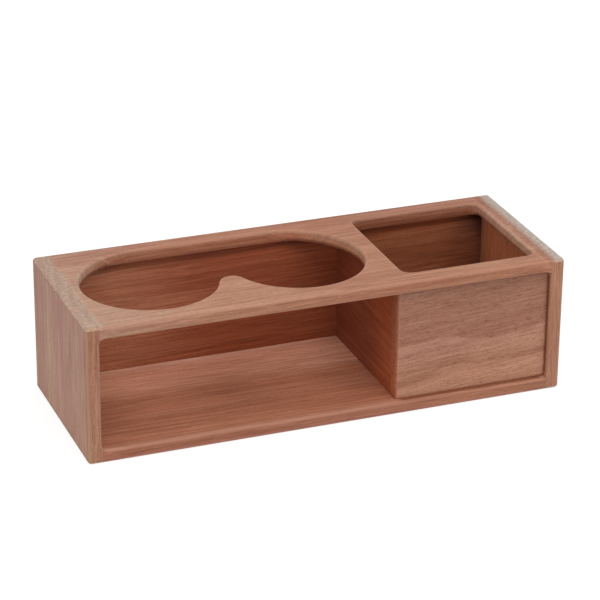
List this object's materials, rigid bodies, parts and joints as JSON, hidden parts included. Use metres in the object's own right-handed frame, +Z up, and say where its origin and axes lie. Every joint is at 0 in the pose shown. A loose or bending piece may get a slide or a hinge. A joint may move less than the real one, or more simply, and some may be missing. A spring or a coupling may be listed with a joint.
{
  "type": "drink holder rack",
  "caption": "Open-fronted wooden rack of thin boards, with joined round openings for drinks in its top and a rectangular bin beside them.",
  "frame": {"origin": "on the ground below the middle of the rack, at the centre of its footprint", "axes": "+X along the length towards the bin, -Y towards the open front, +Z up"},
  "size_m": [0.335, 0.1234, 0.0963],
  "materials": {
    "end_wood": "bare teak, sanded, vertical grain with end grain on top",
    "top_wood": "bare teak, sanded, grain along the length",
    "floor_wood": "bare teak, sanded, grain along the length",
    "panel_wood": "bare teak, sanded, grain across the panel",
    "bin_front_wood": "bare teak, sanded, grain along the length with dark flecks",
    "dowel_wood": "plain hardwood, hidden in the joints"
  },
  "bodies": {
    "root": {"back_dowel_left_1": "dowel_wood", "back_dowel_left_2": "dowel_wood", "back_dowel_right_1": "dowel_wood", "back_dowel_right_2": "dowel_wood", "back_panel": "panel_wood", "bin_front": "bin_front_wood", "bin_front_dowel_left_1": "dowel_wood", "bin_front_dowel_left_2": "dowel_wood", "bin_front_dowel_right_1": "dowel_wood", "bin_front_dowel_right_2": "dowel_wood", "divider": "panel_wood", "divider_dowel_back_1": "dowel_wood", "divider_dowel_back_2": "dowel_wood", "divider_dowel_floor_1": "dowel_wood", "divider_dowel_floor_2": "dowel_wood", "divider_dowel_top_1": "dowel_wood", "divider_dowel_top_2": "dowel_wood", "floor_board": "floor_wood", "floor_dowel_left_1": "dowel_wood", "floor_dowel_left_2": "dowel_wood", "floor_dowel_left_3": "dowel_wood", "floor_dowel_right_1": "dowel_wood", "floor_dowel_right_2": "dowel_wood", "floor_dowel_right_3": "dowel_wood", "left_end": "end_wood", "right_end": "end_wood", "top_board": "top_wood", "top_dowel_left_1": "dowel_wood", "top_dowel_left_2": "dowel_wood", "top_dowel_right_1": "dowel_wood", "top_dowel_right_2": "dowel_wood"}
  },
  "joints": []
}
